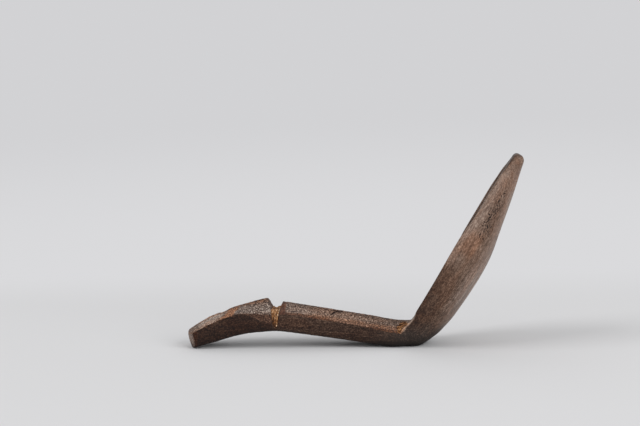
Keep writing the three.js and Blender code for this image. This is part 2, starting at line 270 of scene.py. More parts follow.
def pocks(points, seed, share):
    """Round dents from 0 to 1, in the given share of the cells."""
    cell = np.floor(points).astype(np.int64)
    best = np.zeros(len(points))
    for dx in (-1, 0, 1):
        for dy in (-1, 0, 1):
            for dz in (-1, 0, 1):
                cx, cy, cz = cell[:, 0] + dx, cell[:, 1] + dy, cell[:, 2] + dz
                centre = np.stack([cx + hashed(cx, cy, cz, seed),
                                   cy + hashed(cx, cy, cz, seed + 1),
                                   cz + hashed(cx, cy, cz, seed + 2)], axis=1)
                size = 0.25 + 0.35 * hashed(cx, cy, cz, seed + 3)
                there = hashed(cx, cy, cz, seed + 4) < share
                gap = np.linalg.norm(points - centre, axis=1) / size
                best = np.maximum(best, np.where(there, smooth_step(gap, 1.0, 0.35), 0.0))
    return best


class Skin:
    """A CAD node's surface as a fine even mesh, with arrays to carve and paint it."""

    def __init__(self, node, name, voxel):
        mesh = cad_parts[node].data.copy()
        sheet = bmesh.new()
        sheet.from_mesh(mesh)
        bmesh.ops.remove_doubles(sheet, verts=sheet.verts, dist=WELD_METRES)
        sheet.to_mesh(mesh)
        sheet.free()
        self.node = node
        self.piece = bpy.data.objects.new(name, mesh)
        bpy.context.scene.collection.objects.link(self.piece)
        remesh = self.piece.modifiers.new("even_skin", "REMESH")
        remesh.mode = "VOXEL"
        remesh.voxel_size = voxel * MM
        graph = bpy.context.evaluated_depsgraph_get()
        fine = bpy.data.meshes.new_from_object(self.piece.evaluated_get(graph))
        self.piece.modifiers.clear()
        self.piece.data = fine
        bpy.data.meshes.remove(mesh)
        fine.materials.clear()
        self.mesh = fine
        count = len(fine.vertices)
        flat = np.empty(count * 3)
        fine.vertices.foreach_get("co", flat)
        self.points = flat.reshape(-1, 3) / MM
        pairs = np.empty(len(fine.edges) * 2, np.int32)
        fine.edges.foreach_get("vertices", pairs)
        self.edges = pairs.reshape(-1, 2)
        self.degree = np.bincount(pairs, minlength=count).astype(float)
        self.read_normals()

    def write_points(self):
        self.mesh.vertices.foreach_set("co", (self.points * MM).ravel())
        self.mesh.update()

    def read_normals(self):
        self.write_points()
        flat = np.empty(len(self.mesh.vertices) * 3)
        self.mesh.vertex_normals.foreach_get("vector", flat)
        self.normals = flat.reshape(-1, 3)

    def averaged(self, rounds, share=0.5):
        """The points after each has moved towards its neighbours' mean, several times."""
        work = self.points.copy()
        a, b = self.edges[:, 0], self.edges[:, 1]
        count = len(work)
        for _ in range(rounds):
            for k in range(3):
                column = work[:, k]
                total = (np.bincount(a, weights=column[b], minlength=count)
                         + np.bincount(b, weights=column[a], minlength=count))
                work[:, k] = column + share * (total / self.degree - column)
        return work

    def soften(self, rounds):
        """Takes out the stair-steps of the remesh and keeps the size."""
        for _ in range(rounds):
            self.points = self.averaged(1, SOFTEN_SHARE)
            self.points = self.averaged(1, -SOFTEN_SHARE * SOFTEN_SWELL)
        self.read_normals()

    def height_over(self, low):
        """How far each point stands out of a smoothed surface; below 0 in a groove."""
        return ((self.points - low) * self.normals).sum(axis=1)

    def push(self, amount):
        self.points = self.points + self.normals * amount[:, None]

    def paint(self, name, values):
        values = np.ascontiguousarray(values, dtype=np.float32)
        kind = "FLOAT" if values.ndim == 1 else "FLOAT_VECTOR"
        layer = self.mesh.attributes.new(name, kind, "POINT")
        layer.data.foreach_set("value" if values.ndim == 1 else "vector", values.ravel())

    def finish(self, material):
        self.points[:, 2] = np.maximum(self.points[:, 2], 0.0)
        self.write_points()
        self.mesh.polygons.foreach_set("use_smooth", np.ones(len(self.mesh.polygons), dtype=bool))
        self.mesh.materials.append(material)
        self.mesh.update()
        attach(self.piece, "root")
        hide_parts(self.node)


def spine(points):
    """Place in the wood (along, across, deep), height up the bowl, and depth behind its rim."""
    x = points[:, 0] - CORNER_X
    z = points[:, 2]
    centre_z = CORNER_Z + CORNER_RADIUS
    turn = np.arctan2(x, centre_z - z)
    start_x = CORNER_RADIUS * math.sin(RIM_ANGLE)
    start_z = centre_z - CORNER_RADIUS * math.cos(RIM_ANGLE)
    up = (x - start_x) * math.cos(RIM_ANGLE) + (z - start_z) * math.sin(RIM_ANGLE)
    back = (x - start_x) * math.sin(RIM_ANGLE) - (z - start_z) * math.cos(RIM_ANGLE)
    on_bowl = (x > 0) & (up > 0)
    on_handle = x <= 0
    far_below = -99.0
    along = np.where(on_handle, x,
                     np.where(on_bowl, BEND_RUN * RIM_ANGLE + up, BEND_RUN * turn))
    depth = np.where(on_handle, CORNER_Z - z,
                     np.where(on_bowl, back, np.hypot(x, centre_z - z) - CORNER_RADIUS))
    grain = np.stack([along, points[:, 1], depth], axis=1)
    return grain, np.where(x > 0, up, far_below), back


def above_underside(points):
    """How far each point lies above the lowest one in its own millimetre of length."""
    slot = np.floor(points[:, 0] - points[:, 0].min()).astype(int)
    lowest = np.full(slot.max() + 1, np.inf)
    np.minimum.at(lowest, slot, points[:, 2])
    return points[:, 2] - lowest[slot]


def from_segment(across, along, ends):
    """Distance in a plane to the straight line between two ends."""
    (a0, b0), (a1, b1) = ends
    da, db = a1 - a0, b1 - b0
    share = np.clip(((across - a0) * da + (along - b0) * db) / (da * da + db * db), 0.0, 1.0)
    return np.hypot(across - a0 - share * da, along - b0 - share * db)


def facing_rim(normals):
    """1 where a surface faces as the flat rim of the bowl does."""
    return normals[:, 2] * math.cos(RIM_ANGLE) - normals[:, 0] * math.sin(RIM_ANGLE)


def facing_tip(normals):
    """1 where a surface faces up along the bowl, towards its tip."""
    return normals[:, 0] * math.cos(RIM_ANGLE) + normals[:, 2] * math.sin(RIM_ANGLE)


def near(points, spot):
    """1 at the middle of a spot, fading to 0 at its outer ellipsoid."""
    (from_corner, y, z), radii = spot
    centre = np.array([CORNER_X + from_corner, y, z])
    gap = np.linalg.norm((points - centre) / np.array(radii), axis=1)
    return smooth_step(gap, 1.0, 0.35)


def round_off(skin, low, wear, nose):
    """Wears the edges down towards the smoothed surface, and rounds the whole nose."""
    worn = (low - skin.points) * wear[:, None]
    reach = np.linalg.norm(worn, axis=1)
    worn *= np.minimum(1.0, MOST_ROUNDING / np.maximum(reach, 1e-9))[:, None]
    rounded = (skin.averaged(NOSE_ROUNDS) - skin.points) * nose[:, None]
    skin.points = skin.points + (worn * (1.0 - nose[:, None]) + rounded)
    skin.read_normals()


def tool_marks(skin, grain, bowl, edge):
    """How far knife marks, raised grain and nicks move the surface."""
    waves = layered(grain / (34.0, 15.0, 15.0), seed=3, layers=2)
    knife = np.abs(noise(grain / (26.0, 7.0, 7.0), seed=11))
    ridges = layered(grain / (16.0, 1.3, 1.3), seed=21, layers=2)
    granules = noise(skin.points / 1.1, seed=31) * (1.2 - 0.9 * bowl)
    nicks = smooth_step(layered(skin.points / 3.2, seed=41, layers=2), 0.1, 0.6) * edge
    return (WAVE_DEPTH * waves - KNIFE_DEPTH * knife + GRAIN_DEPTH * ridges
            + GRANULE_DEPTH * granules - NICK_DEPTH * nicks)


def fitted_outline(points, from_corner, from_ridge, facing_up):
    """How far the ridge, the arch, the nose and the heel are moved."""
    upper = smooth_step(facing_up, 0.3, 0.6)
    under = smooth_step(-facing_up, 0.4, 0.8)
    crest = np.maximum(between(from_corner, *SHANK_CREST), between(from_corner, *END_CREST))
    amount = RIDGE_RISE * crest * smooth_step(from_ridge, 6.0, 1.5) * upper
    amount += ARCH_DROP * between(from_corner, *ARCH) * under
    amount -= (BROW_DROP * between(from_corner, *BROW) + DENT_DEPTH * near(points, DENT)) * upper
    amount -= HEEL_TRIM * near(points, HEEL) * smooth_step(facing_up, 0.1, -0.3)
    amount += FOOT_FILL * near(points, FOOT) * under
    return amount


def flaked(points, past_break, y, facing_up):
    """Where the wood beside the break has flaked off the ridge, and how deep."""
    ragged = past_break + 0.5 * noise(points / 2.5, seed=67)
    flake = (smooth_step(facing_up, 0.3, 0.5) * smooth_step(ragged, 6.0, 5.2)
             * smooth_step(past_break, 0.0, 1.0) * smooth_step(y, 2.0, 0.0))
    depth = flake * (FLAKE_DEPTH + 0.20 * noise(points / (1.0, 4.0, 4.0), seed=68))
    depth += FLAKE_HOLLOW * flake * smooth_step(ragged, 4.8, 2.4) * smooth_step(y, -8.0, -2.0)
    return flake, depth


def rim_lift(up, back, y):
    """How far the bowl's lips rise and its tip and belly fall, along the way that the rim faces."""
    lift = RIM_RISE * between(up, *RIM_SWELL)
    tilt = np.where(y < 0.0, smooth_step(up, 82.0, 60.0), smooth_step(up, 60.0, 42.0))
    lift += smooth_step(up, 3.0, 10.0) * tilt * (0.15 - 0.05 * np.clip(y, -28.0, 16.0))
    lift *= smooth_step(back, 6.0, 1.0)
    lift -= TIP_DROP * smooth_step(up, 102.0, 114.5) * smooth_step(back, 6.0, 1.5)
    lift -= BELLY_FILL * between(up, *BELLY) * smooth_step(back, 8.0, 14.0)
    return lift


def pitted(skin, grain, up, back, y):
    """Pits in a slanting band on the near outside of the bowl: the pits, and the band."""
    line = PIT_LINE_DEPTH - PIT_LINE_SLANT * (up - PIT_LINE_UP)
    reach = PIT_HALF_WIDTH - PIT_NARROWING * smooth_step(up, 80.0, 96.0)
    past = np.abs(back - line + 0.8 * noise(grain / 5.0, seed=73)) - reach
    zone = (smooth_step(past, 0.0, -2.2) * between(up, *PITTED)
            * smooth_step(y, -6.0, -9.0) * smooth_step(skin.normals[:, 1], 0.1, -0.2))
    zone *= smooth_step(noise(grain / (6.0, 5.0, 5.0), seed=75), -0.7, 0.0)
    return pocks(grain / (1.5, 0.95, 0.95), seed=71, share=0.42) * zone, zone


def shape_billet(skin):
    """Carves making, wear and breaking into the skin, and returns where the special places are."""
    skin.soften(rounds=3)
    grain, up, back = spine(skin.points)
    bowl = smooth_step(up, -4.0, 10.0)
    past_break = skin.points[:, 0] - BREAK_X
    from_break = np.abs(past_break)
    below = smooth_step(skin.points[:, 2], BREAK_ROOT + 1.0, BREAK_ROOT - 1.0)
    closed = below * smooth_step(from_break, 2.0, 0.4)
    snapped = smooth_step(np.abs(skin.normals[:, 0]), 0.45, 0.7) * smooth_step(from_break, 13.0, 10.0)
    old_break = snapped * smooth_step(past_break, 0.5, -0.5)
    low = skin.averaged(EDGE_ROUNDS)
    edge = smooth_step(skin.height_over(low), 0.04, 0.25)
    edge *= 1.0 - below * smooth_step(from_break, 3.0, 1.0)
    nose = near(skin.points, NOSE)
    round_off(skin, low, edge * (0.4 + 0.1 * bowl), nose)

    # Places are read here, after the wear and before the nose is pushed out.
    y = skin.points[:, 1]
    from_corner = skin.points[:, 0] - CORNER_X
    past_break = skin.points[:, 0] - BREAK_X
    facing_up = skin.normals[:, 2]
    skin.push(nose * (NOSE_FILL * smooth_step(-skin.normals[:, 0], 0.2, 0.6)
                      - NOSE_TRIM * smooth_step(facing_up, 0.5, 0.8)))

    amount = tool_marks(skin, grain, bowl, edge)
    amount += fitted_outline(skin.points, from_corner, np.abs(y), facing_up)
    splinter = layered(skin.points / (2.4, 1.3, 2.0), seed=51, layers=3)
    amount = amount * (1.0 - snapped) + snapped * (SPLINTER_DEPTH * splinter + 0.05)
    amount *= 1.0 - closed

    scar = near(skin.points, SCAR) + 0.25 * layered(skin.points / 2.0, seed=61, layers=2)
    scar = smooth_step(scar, 0.25, 0.45)
    amount -= scar * (SCAR_DEPTH + 0.35 * noise(skin.points / 1.3, seed=63))
    flake, flake_depth = flaked(skin.points, past_break, y, facing_up)
    amount -= flake_depth
    chip = smooth_step(near(skin.points, CHIP) + 0.3 * noise(skin.points / 1.6, seed=65), 0.25, 0.7)
    amount -= CHIP_DEPTH * chip
    wander = y + 0.5 * noise(skin.points / 1.5, seed=66)
    crack = smooth_step(from_segment(from_corner, wander, RIDGE_CRACK), 0.75, 0.25)
    crack *= smooth_step(facing_up, 0.3, 0.5)
    amount -= CRACK_DEPTH * crack
    pits, pit_zone = pitted(skin, grain, up, back, y)
    amount -= PIT_DEPTH * pits
    skin.push(amount)

    root = smooth_step(from_corner, -9.0, -2.0) * smooth_step(up, 16.0, 0.0)
    root *= smooth_step(grain[:, 2], 12.0, 2.0)
    fall = root * ROOT_SLOPE * np.clip(y + 1.0, 0.0, 11.0)
    skin.points += fall[:, None] * ROOT_FALL + rim_lift(up, back, y)[:, None] * RIM_WAY
    skin.points[:, 0] -= np.sign(past_break) * CRACK_GAP * closed
    skin.read_normals()
    return SimpleNamespace(
        grain=grain, up=up, back=back, bowl=bowl, old_break=old_break, scar=scar, pits=pits,
        pit_zone=pit_zone, snapped=np.maximum(snapped - 0.8 * old_break, flake),
        crack=np.maximum(crack, 0.7 * chip))


def survey(skin, at):
    """Adds the regions of the finished surface on which the colours depend."""
    at.x, at.y, at.z = skin.points.T
    at.from_corner = at.x - CORNER_X
    at.from_ridge = np.abs(at.y)
    at.height = skin.height_over(skin.averaged(EDGE_ROUNDS))
    at.facing_up = skin.normals[:, 2]
    at.outward = skin.normals[:, 1] * np.sign(at.y)
    at.to_rim = facing_rim(skin.normals)
    at.blotch = layered(at.grain / (26.0, 9.0, 9.0), seed=81, layers=3)
    at.patch = layered(at.grain / (9.0, 5.0, 5.0), seed=83, layers=2)

    at.handle = 1.0 - at.bowl
    at.top = np.maximum(smooth_step(at.facing_up, 0.45, 0.60), at.old_break) * at.handle
    at.side = at.handle * (1.0 - at.top)
    at.ridge_line = smooth_step(at.from_ridge, 4.4, 2.0) * at.top
    at.by_break = smooth_step(np.abs(at.x - BREAK_X + 4.0), 32.0, 20.0)
    at.end_piece = smooth_step(at.from_corner, -80.0, -84.0)
    at.by_corner = smooth_step(at.from_corner, -90.0, -86.0) * at.end_piece
    at.outer = smooth_step(at.from_corner, -111.0, -116.0)
    pale_edge = np.interp(at.from_corner, *np.transpose(PALE_EDGE))
    at.lip = smooth_step(at.from_ridge - pale_edge + 0.7 * at.patch, -0.5, 0.7)
    at.lip *= at.top * (1.0 - at.outer)
    band = np.abs(at.from_corner - BARE_BAND + 0.5 * at.from_ridge + 2.5 * at.patch)
    at.band = smooth_step(band - (2.5 + 0.25 * at.from_ridge), 1.5, -1.5) * at.top
    at.end_face = smooth_step(-skin.normals[:, 0], 0.35, 0.65)
    at.end_face *= smooth_step(at.from_corner, -124.0, -130.0)
    nose_edge = smooth_step(np.abs(at.from_corner - NOSE_EDGE), 1.8, 0.6) * (1.0 - at.end_face)
    at.nose_edge = np.maximum(nose_edge, smooth_step(at.facing_up, 0.05, 0.25) * at.outer) * at.side

    at.across = np.clip(at.back / BOWL_DEPTH, 0.0, 1.0)
    at.lower = smooth_step(at.up, 49.0, 42.0)
    # The band along the rim side of the bowl, painted with a lighter, greyer sheen.
    at.left_band = smooth_step(at.across, 0.40, 0.05) * (1.0 - at.lower)
    at.left_band *= smooth_step(at.up, 106.0, 80.0)


def handle_tone(skin, at):
    """How light the top, the sides and the end of the handle are; the top is painted lighter and the
    sides darker, partly the wood's own colour and partly painted light from above.
    """
    top = TOP_TONE - 0.01 * at.end_piece + 0.17 * at.outer
    top += 0.03 * smooth_step(at.from_corner, -60.0, -40.0)
    top -= 0.02 * smooth_step(at.from_corner, -62.0, -66.0) * (1.0 - at.end_piece)
    top += (LIP_TONE - top) * at.lip
    top -= 0.18 * smooth_step(at.from_corner, -127.0, -129.5)
    side = SIDE_TONE - 0.125 * at.end_piece
    # Painted shade: the sides darker towards the handle's underside.
    side -= 0.10 * smooth_step(above_underside(skin.points), 8.0, 1.0)
    face = FACE_TONE + 0.22 * smooth_step(at.z, 1.5, 5.0) - 0.12 * smooth_step(at.z, 8.0, 10.5)
    side += (face - side) * at.end_face
    return top * at.top + side * at.side


def bowl_tone(skin, at):
    """How light the outside, the inside and the tip of the bowl are, with painted sheen and painted
    light on the outside.
    """
    tone = BOWL_TONE + 0.21 * smooth_step(at.up, 0.0, 60.0) + 0.045 * smooth_step(at.up, 95.0, 105.0)
    # Painted sheen: lighter along the rim side and, higher up, towards the back edge.
    tone += 0.09 * at.left_band + 0.045 * smooth_step(at.across, 0.6, 1.0) * (1.0 - at.lower)
    # Low on the bowl: darker on the rim side and lighter towards the back, partly a dark mark and partly
    # painted light from the back.
    tone += at.lower * (0.22 * at.across - 0.13)
    tone -= 0.03 * smooth_step(at.up, 107.0, 112.0)
    # The inside is painted a little lighter next to the rim, as painted light against the near rim's
    # shadow.
    inner = INSIDE_TONE + 0.08 * smooth_step(at.up, 35.0, 46.0) * smooth_step(at.back, 9.0, 2.0)
    by_tip = 0.45 * smooth_step(at.up, 84.0, 98.0)
    inside = np.maximum(smooth_step(at.to_rim + by_tip, 0.90, 0.98),
                        smooth_step(at.outward, -0.05, -0.3))
    tone += (inner - tone) * inside * at.bowl
    tip_face = smooth_step(at.to_rim + facing_tip(skin.normals), 0.5, 0.9)
    tone -= 0.20 * tip_face * smooth_step(at.up, 106.0, 111.0)
    return tone * at.bowl


def whole_tone(skin, at):
    """The tone of the wood, with its blotches, lines and edges."""
    tone = handle_tone(skin, at) + bowl_tone(skin, at)
    tone += 0.05 * at.blotch + 0.04 * at.patch * (at.top + 0.5 * at.bowl)
    tone -= 0.11 * at.ridge_line * (1.0 + 0.6 * at.patch) + 0.07 * at.by_corner * at.ridge_line
    tone += smooth_step(at.height, 0.03, 0.20) * (0.10 * at.outer * at.top - 0.05 * at.side)
    tone += at.band * (0.15 - 0.10 * smooth_step(at.from_ridge, 8.0, 4.0)) + 0.05 * at.nose_edge
    return tone - 0.40 * at.crack


def dust_and_sheen_mask(at):
    """Where the wood is painted grey: dust on the worn top, the nose and the heel, and a painted sheen
    along the bowl's lower back edge and its rim side.
    """
    by_break = at.by_break * (0.85 + 0.5 * at.patch) * (1.0 - 0.7 * at.ridge_line)
    dust_and_sheen = at.top * np.clip(by_break + 0.2 * at.blotch, 0.0, 1.0) * (1.0 - at.lip)
    dust_and_sheen = np.maximum(dust_and_sheen, 0.7 * np.maximum(at.outer * at.top, at.end_face))
    # Painted sheen: greyer along the lower back edge of the bowl, as the floor's reflection, and along
    # its rim side.
    back_edge_sheen = smooth_step(at.across, 0.55, 0.95) * smooth_step(at.outward, 0.98, 0.6) * at.bowl
    bowl_edge_sheen = np.maximum(0.7 * back_edge_sheen * smooth_step(at.up, 70.0, 40.0), 0.4 * at.left_band)
    heel = 0.6 * smooth_step(at.z, 18.0, 8.0) * smooth_step(at.from_corner, -12.0, 2.0)
    dust_and_sheen = np.maximum(np.maximum(dust_and_sheen, at.bowl * bowl_edge_sheen), heel)
    return dust_and_sheen * (1.0 - at.band)


def warmed(at):
    """Where bared wood is warmer: bands and edges of the handle, and spots on the bowl."""
    low_slope = smooth_step(at.from_ridge, 6.5, 9.5) * at.top
    low_slope *= (1.0 - at.by_break) * (1.0 - 0.3 * at.outer)
    mid_shank = smooth_step(np.abs(at.from_corner - MID_SHANK), 18.0, 8.0)
    warm = at.band + 0.4 * at.lip + 0.5 * at.ridge_line * (at.end_piece - at.by_corner)
    warm += low_slope * (0.5 + 0.4 * at.patch) + 0.14 * mid_shank * at.top
    warm += 0.12 * at.side * at.end_piece * (1.0 - at.end_face)
    middle = smooth_step(np.abs(at.up - WARM_UP), 11.0, 4.0)
    middle *= smooth_step(np.abs(at.across - WARM_ACROSS), 0.35, 0.10)
    foot = 0.3 * between(at.up, *WARM_FOOT) * smooth_step(at.across, 0.80, 0.40)
    tip = 0.7 * smooth_step(at.up, 96.0, 104.0) * smooth_step(at.across, 0.2, 0.6)
    warm += np.maximum(np.maximum(middle, foot), tip) * (0.35 + 0.6 * at.blotch) * at.bowl
    return np.clip(np.maximum(warm, 0.8 * at.nose_edge), 0.0, 1.0)


def worn_seam(at):
    """The pale rubbed line where the near edge of the handle turns up into the bowl."""
    rise = np.clip((at.z - SEAM_LOW) / SEAM_HEIGHT, 0.0, 1.3)
    seam_x = CORNER_X + SEAM_X + SEAM_LEAN * rise
    worn = smooth_step(np.abs(at.x - seam_x), 1.35, 0.6) * smooth_step(at.y, -8.0, -11.0)
    worn *= smooth_step(at.to_rim, 0.1, 0.35) * smooth_step(at.z, 26.0, 18.0)
    return worn * (0.6 + 0.4 * smooth_step(at.z, 7.0, 12.0))


def paint_billet(skin, at):
    """Paints the masks that the aged wood's material reads."""
    survey(skin, at)
    worn = worn_seam(at)
    # Darker round the inner corner and low down on the heel, less on the top.
    darker_heel = smooth_step(np.hypot(at.from_corner - 0.9, 1.6 * at.z), 34.0, 8.0)
    darker_heel = np.clip(darker_heel * (1.0 - 0.7 * at.top) + 0.3 * at.blotch * darker_heel, 0.0, 1.0)
    # Painted shade: darker in the lowest few millimetres, where the shank's root and the heel meet the
    # floor.
    floor_shade = smooth_step(at.z, 6.5, 0.5) * smooth_step(at.from_corner, -40.0, -20.0)
    floor_shade *= 0.4 + 0.6 * smooth_step(at.from_corner, 16.0, 6.0)
    clear_top = at.top * (1.0 - 0.6 * at.lip)
    bowl_grit = 0.32 + 0.20 * smooth_step(at.up, 62.0, 45.0)
    skin.paint("grain", at.grain * MM)
    skin.paint("place", skin.points * MM)
    skin.paint("tone", whole_tone(skin, at))
    skin.paint("darker_heel", darker_heel * (1.0 - worn))
    skin.paint("bowl", at.bowl)
    skin.paint("top", clear_top)
    skin.paint("calm", at.side * at.end_piece)
    skin.paint("gritty", (1.0 + 1.1 * clear_top) * at.handle + bowl_grit * at.bowl)
    skin.paint("floor_shade", floor_shade)
    skin.paint("dust_and_sheen", np.maximum(dust_and_sheen_mask(at), worn))
    skin.paint("warm", warmed(at))
    skin.paint("worn", worn)
    skin.paint("raw", at.scar * (1.0 - worn) * smooth_step(at.facing_up, 0.3, 0.5))
    skin.paint("snapped", at.snapped)
    skin.paint("pits", at.pits)
    skin.paint("pit_zone", at.pit_zone)
    skin.paint("hollow", smooth_step(at.height, -0.03, -0.22))


def carve_fill(skin):
    """Coarse splinters that fill the break from wall to wall."""
    skin.soften(rounds=2)
    to_walls = np.abs(skin.normals[:, 0])
    fibres = 1.0 - 2.0 * np.abs(noise(skin.points / (0.9, 1.0, 5.0), seed=91))
    lumps = noise(skin.points / 1.8, seed=95)
    free = smooth_step(skin.points[:, 2], BREAK_ROOT, BREAK_ROOT + 3.5)
    bulge = FILL_SWELL + (FIBRE_DEPTH * fibres + LUMP_DEPTH * lumps) * free
    bulge -= FILL_TOP_DROP * smooth_step(skin.normals[:, 2], 0.4, 0.8)
    skin.push(FILL_TO_WALLS * to_walls + (1.0 - to_walls) * bulge)
    skin.read_normals()
    height = skin.height_over(skin.averaged(FILL_EDGE_ROUNDS))
    past_break = skin.points[:, 0] - BREAK_X
    y, z = skin.points[:, 1], skin.points[:, 2]
    streak = smooth_step(np.abs(past_break - 0.85), 0.75, 0.3) * smooth_step(z, 18.5, 17.0)
    sliver = smooth_step(np.abs(past_break - 2.0), 0.5, 0.2) * smooth_step(z, 17.0, 18.0)
    # Painted shade low in the break and along the shank's wall.
    low_end = smooth_step(z, BREAK_ROOT + 5.2, BREAK_ROOT + 2.6)
    by_wall = smooth_step(past_break, 2.2, 2.7)
    skin.paint("pale", np.maximum(streak, sliver) * smooth_step(y, -4.0, -7.0))
    skin.paint("deep", np.maximum(low_end * (1.0 - 0.8 * streak), by_wall))
    skin.paint("grain", skin.points[:, [2, 1, 0]] * MM)
    # The hollows between the splinters, painted darker as shade.
    skin.paint("hollow", smooth_step(height, -0.02, -0.2))
    skin.paint("wear", smooth_step(height, 0.02, 0.2))


class Nodes:
    """Short words for building a shader tree."""

    def __init__(self, name):
        self.material = bpy.data.materials.new(name)
        self.material.use_nodes = True
        self.tree = self.material.node_tree
        self.tree.nodes.clear()

    def add(self, kind, **settings):
        node = self.tree.nodes.new(kind)
        for key, value in settings.items():
            setattr(node, key, value)
        return node

    def link(self, source, target):
        self.tree.links.new(source, target)

    def attribute(self, name, vector=False):
        node = self.add("ShaderNodeAttribute", attribute_name=name)
        return node.outputs["Vector" if vector else "Fac"]

    def scaled(self, vector, scale):
        node = self.add("ShaderNodeVectorMath", operation="MULTIPLY")
        self.link(vector, node.inputs[0])
        node.inputs[1].default_value = scale
        return node.outputs[0]

    def noise(self, vector, scale, detail, roughness, distortion=0.0):
        node = self.add("ShaderNodeTexNoise", noise_dimensions="3D")
        self.link(self.scaled(vector, scale), node.inputs["Vector"])
        node.inputs["Scale"].default_value = 1.0
        node.inputs["Detail"].default_value = detail
        node.inputs["Roughness"].default_value = roughness
        node.inputs["Distortion"].default_value = distortion
        return node.outputs["Fac"]

    def math(self, operation, a, b, clamp=False):
        node = self.add("ShaderNodeMath", operation=operation, use_clamp=clamp)
        for socket, value in zip(node.inputs, (a, b)):
            if isinstance(value, (int, float)):
                socket.default_value = value
            else:
                self.link(value, socket)
        return node.outputs[0]

    def times(self, a, b):
        return self.math("MULTIPLY", a, b)

    def total(self, value, *others):
        for other in others:
            value = self.math("ADD", value, other)
        return value

    def spread(self, value, low, high, new_low=0.0, new_high=1.0):
        node = self.add("ShaderNodeMapRange", interpolation_type="SMOOTHSTEP")
        self.link(value, node.inputs["Value"])
        node.inputs["From Min"].default_value = low
        node.inputs["From Max"].default_value = high
        node.inputs["To Min"].default_value = new_low
        node.inputs["To Max"].default_value = new_high
        return node.outputs["Result"]

    def sway(self, noise, reach):
        """A noise drawn out to plus and minus its reach."""
        return self.spread(noise, 0.3, 0.7, -reach, reach)

    def ramp(self, value, stops):
        node = self.add("ShaderNodeValToRGB")
        self.link(value, node.inputs["Fac"])
        ramp = node.color_ramp
        while len(ramp.elements) < len(stops):
            ramp.elements.new(0.5)
        for element, (place, colour) in zip(ramp.elements, stops):
            element.position = place
            element.color = (*colour, 1.0)
        return node.outputs["Color"]

    def mix(self, share, a, b, blend="MIX"):
        node = self.add("ShaderNodeMix", data_type="RGBA", blend_type=blend)
        for socket, value in ((node.inputs[0], share), (node.inputs[6], a), (node.inputs[7], b)):
            if isinstance(value, (int, float)):
                socket.default_value = value
            elif isinstance(value, tuple):
                socket.default_value = (*value, 1.0)
            else:
                self.link(value, socket)
        return node.outputs[2]

    def tinted(self, colour, tint):
        return self.mix(1.0, colour, tint, "MULTIPLY")

    def bump(self, height, distance, strength, base=None):
        node = self.add("ShaderNodeBump")
        node.inputs["Strength"].default_value = strength
        node.inputs["Distance"].default_value = distance
        self.link(height, node.inputs["Height"])
        if base is not None:
            self.link(base, node.inputs["Normal"])
        return node.outputs["Normal"]

    def surface(self, colour, roughness, normal, specular):
        shader = self.add("ShaderNodeBsdfPrincipled")
        self.link(colour, shader.inputs["Base Color"])
        self.link(roughness, shader.inputs["Roughness"])
        self.link(normal, shader.inputs["Normal"])
        shader.inputs["Specular IOR Level"].default_value = specular
        out = self.add("ShaderNodeOutputMaterial")
        self.link(shader.outputs["BSDF"], out.inputs["Surface"])
        return self.material


